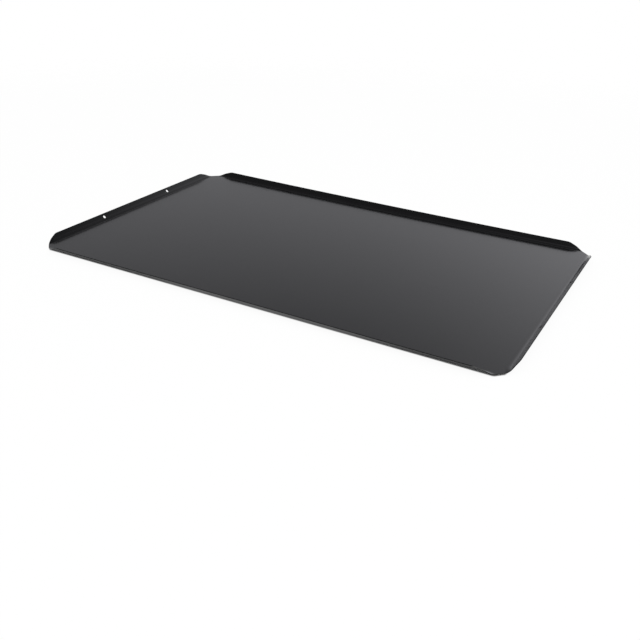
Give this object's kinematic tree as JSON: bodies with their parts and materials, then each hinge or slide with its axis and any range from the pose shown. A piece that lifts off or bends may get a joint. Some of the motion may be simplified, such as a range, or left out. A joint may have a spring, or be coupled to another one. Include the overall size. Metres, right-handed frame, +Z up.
{
  "type": "cookie sheet",
  "caption": "Shallow rectangular steel baking sheet with low outward-sloping edges, open corners cut at a slant, hanging holes in the short edges and a black non-stick coating.",
  "frame": {"origin": "middle of the flat underside, on the surface that the sheet rests on", "axes": "+X along the long edges, +Y along the short edges, +Z up out of the baking face"},
  "size_m": [0.45, 0.281, 0.006],
  "materials": {
    "nonstick_coating": "black non-stick coating, satin, with a faint orange peel",
    "pressed_steel": "cold-rolled carbon steel, seen only at the cut edges",
    "underside_enamel": "black protective coating, satin"
  },
  "bodies": {
    "root": {"baking_face_coating": "nonstick_coating", "steel_sheet": "pressed_steel", "underside_coating": "underside_enamel"}
  },
  "joints": []
}
